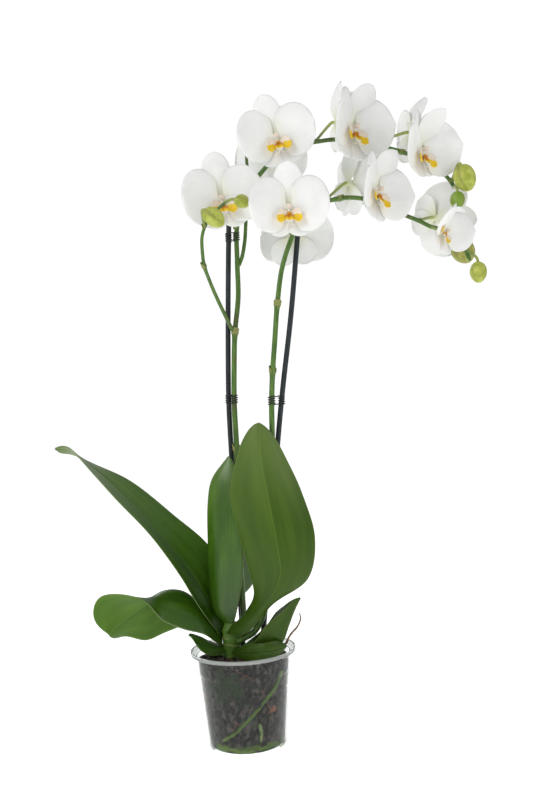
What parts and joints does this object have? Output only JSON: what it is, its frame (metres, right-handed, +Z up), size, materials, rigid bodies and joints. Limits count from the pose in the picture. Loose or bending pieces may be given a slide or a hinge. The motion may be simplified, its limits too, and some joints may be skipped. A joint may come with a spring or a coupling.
{
  "type": "potted orchid",
  "caption": "Moth orchid with white blooms on staked, arching flower spikes, in a clear plastic nursery pot of bark.",
  "frame": {"origin": "centre of the pot's base, on the surface it stands on", "axes": "+Z up; +X to the viewer's right, the way the spikes arch; +Y away from the viewer"},
  "size_m": [0.509, 0.1834, 0.7679],
  "materials": {
    "clear_plastic": "clear, lightly scuffed, gloss",
    "bark": "damp loose bark, matt",
    "crown": "pale green plant tissue, matt",
    "leaf": "waxy green leaf, satin",
    "stake": "dark plastic-coated rod, satin",
    "green_root": "green root, matt",
    "pale_root": "pale root, matt",
    "dry_root": "dry brown root, matt",
    "tepal": "white petal, soft matt sheen",
    "lip": "cream with yellow and orange marks, waxy",
    "bud": "yellow-green bud with olive ridges, satin",
    "spike": "green stem, satin",
    "wire": "dark coated wire, satin"
  },
  "bodies": {
    "root": {"pot": "clear_plastic", "growing_medium": "bark", "crown": "crown", "leaf_long_left": "leaf", "leaf_lower_left": "leaf", "leaf_upright": "leaf", "leaf_front": "leaf", "leaf_folded_right": "leaf", "leaf_front_short": "leaf", "leaf_left_short": "leaf", "support_stake_left": "stake", "support_stake_right": "stake", "root_green": "green_root", "root_pale": "pale_root", "root_dry": "dry_root", "root_ring": "green_root", "bloom_01": "tepal", "lip_01": "lip", "bloom_02": "tepal", "lip_02": "lip", "bloom_03": "tepal", "lip_03": "lip", "bloom_04": "tepal", "lip_04": "lip", "bloom_05": "tepal", "lip_05": "lip", "bloom_06": "tepal", "lip_06": "lip", "bloom_07": "tepal", "lip_07": "lip", "bloom_08": "tepal", "lip_08": "lip", "bloom_09": "tepal", "lip_09": "lip", "bloom_10": "tepal", "lip_10": "lip", "bloom_11": "tepal", "lip_11": "lip", "bloom_12": "tepal", "lip_12": "lip", "bloom_13": "tepal", "lip_13": "lip", "bud_01": "bud", "bud_02": "bud", "bud_03": "bud", "bud_04": "bud", "bud_05": "bud", "bud_06": "bud", "flower_spike_left": "spike", "flower_spike_right": "spike", "wire_tie_left_low": "wire", "wire_tie_left_high": "wire", "wire_tie_right": "wire"}
  },
  "joints": []
}
